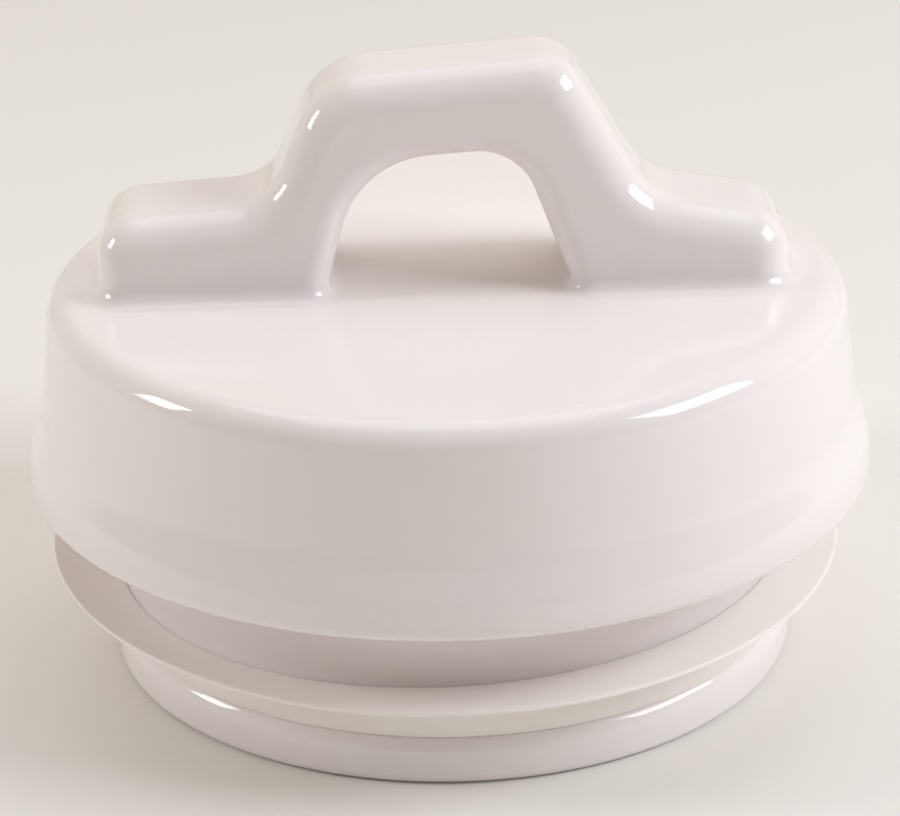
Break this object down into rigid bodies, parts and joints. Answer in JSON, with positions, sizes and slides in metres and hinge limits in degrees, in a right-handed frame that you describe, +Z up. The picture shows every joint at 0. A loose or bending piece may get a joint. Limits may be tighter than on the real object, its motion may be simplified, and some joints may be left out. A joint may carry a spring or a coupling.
{
  "type": "tea canister lid",
  "caption": "Round glazed ceramic lid with a stepped bridge handle, an overhanging flange and a plug that carries a soft sealing ring.",
  "frame": {"origin": "centre of the foot that the lid stands on", "axes": "+Z up along the lid's round axis, +X along the handle, the side seen first at -Y"},
  "size_m": [0.108, 0.108, 0.0782],
  "materials": {
    "glazed_ceramic": "clear gloss glaze over a white cast body",
    "silicone": "soft satin, milky and slightly see-through"
  },
  "bodies": {
    "root": {"lid_body": "glazed_ceramic", "seal_ring": "silicone"}
  },
  "joints": []
}
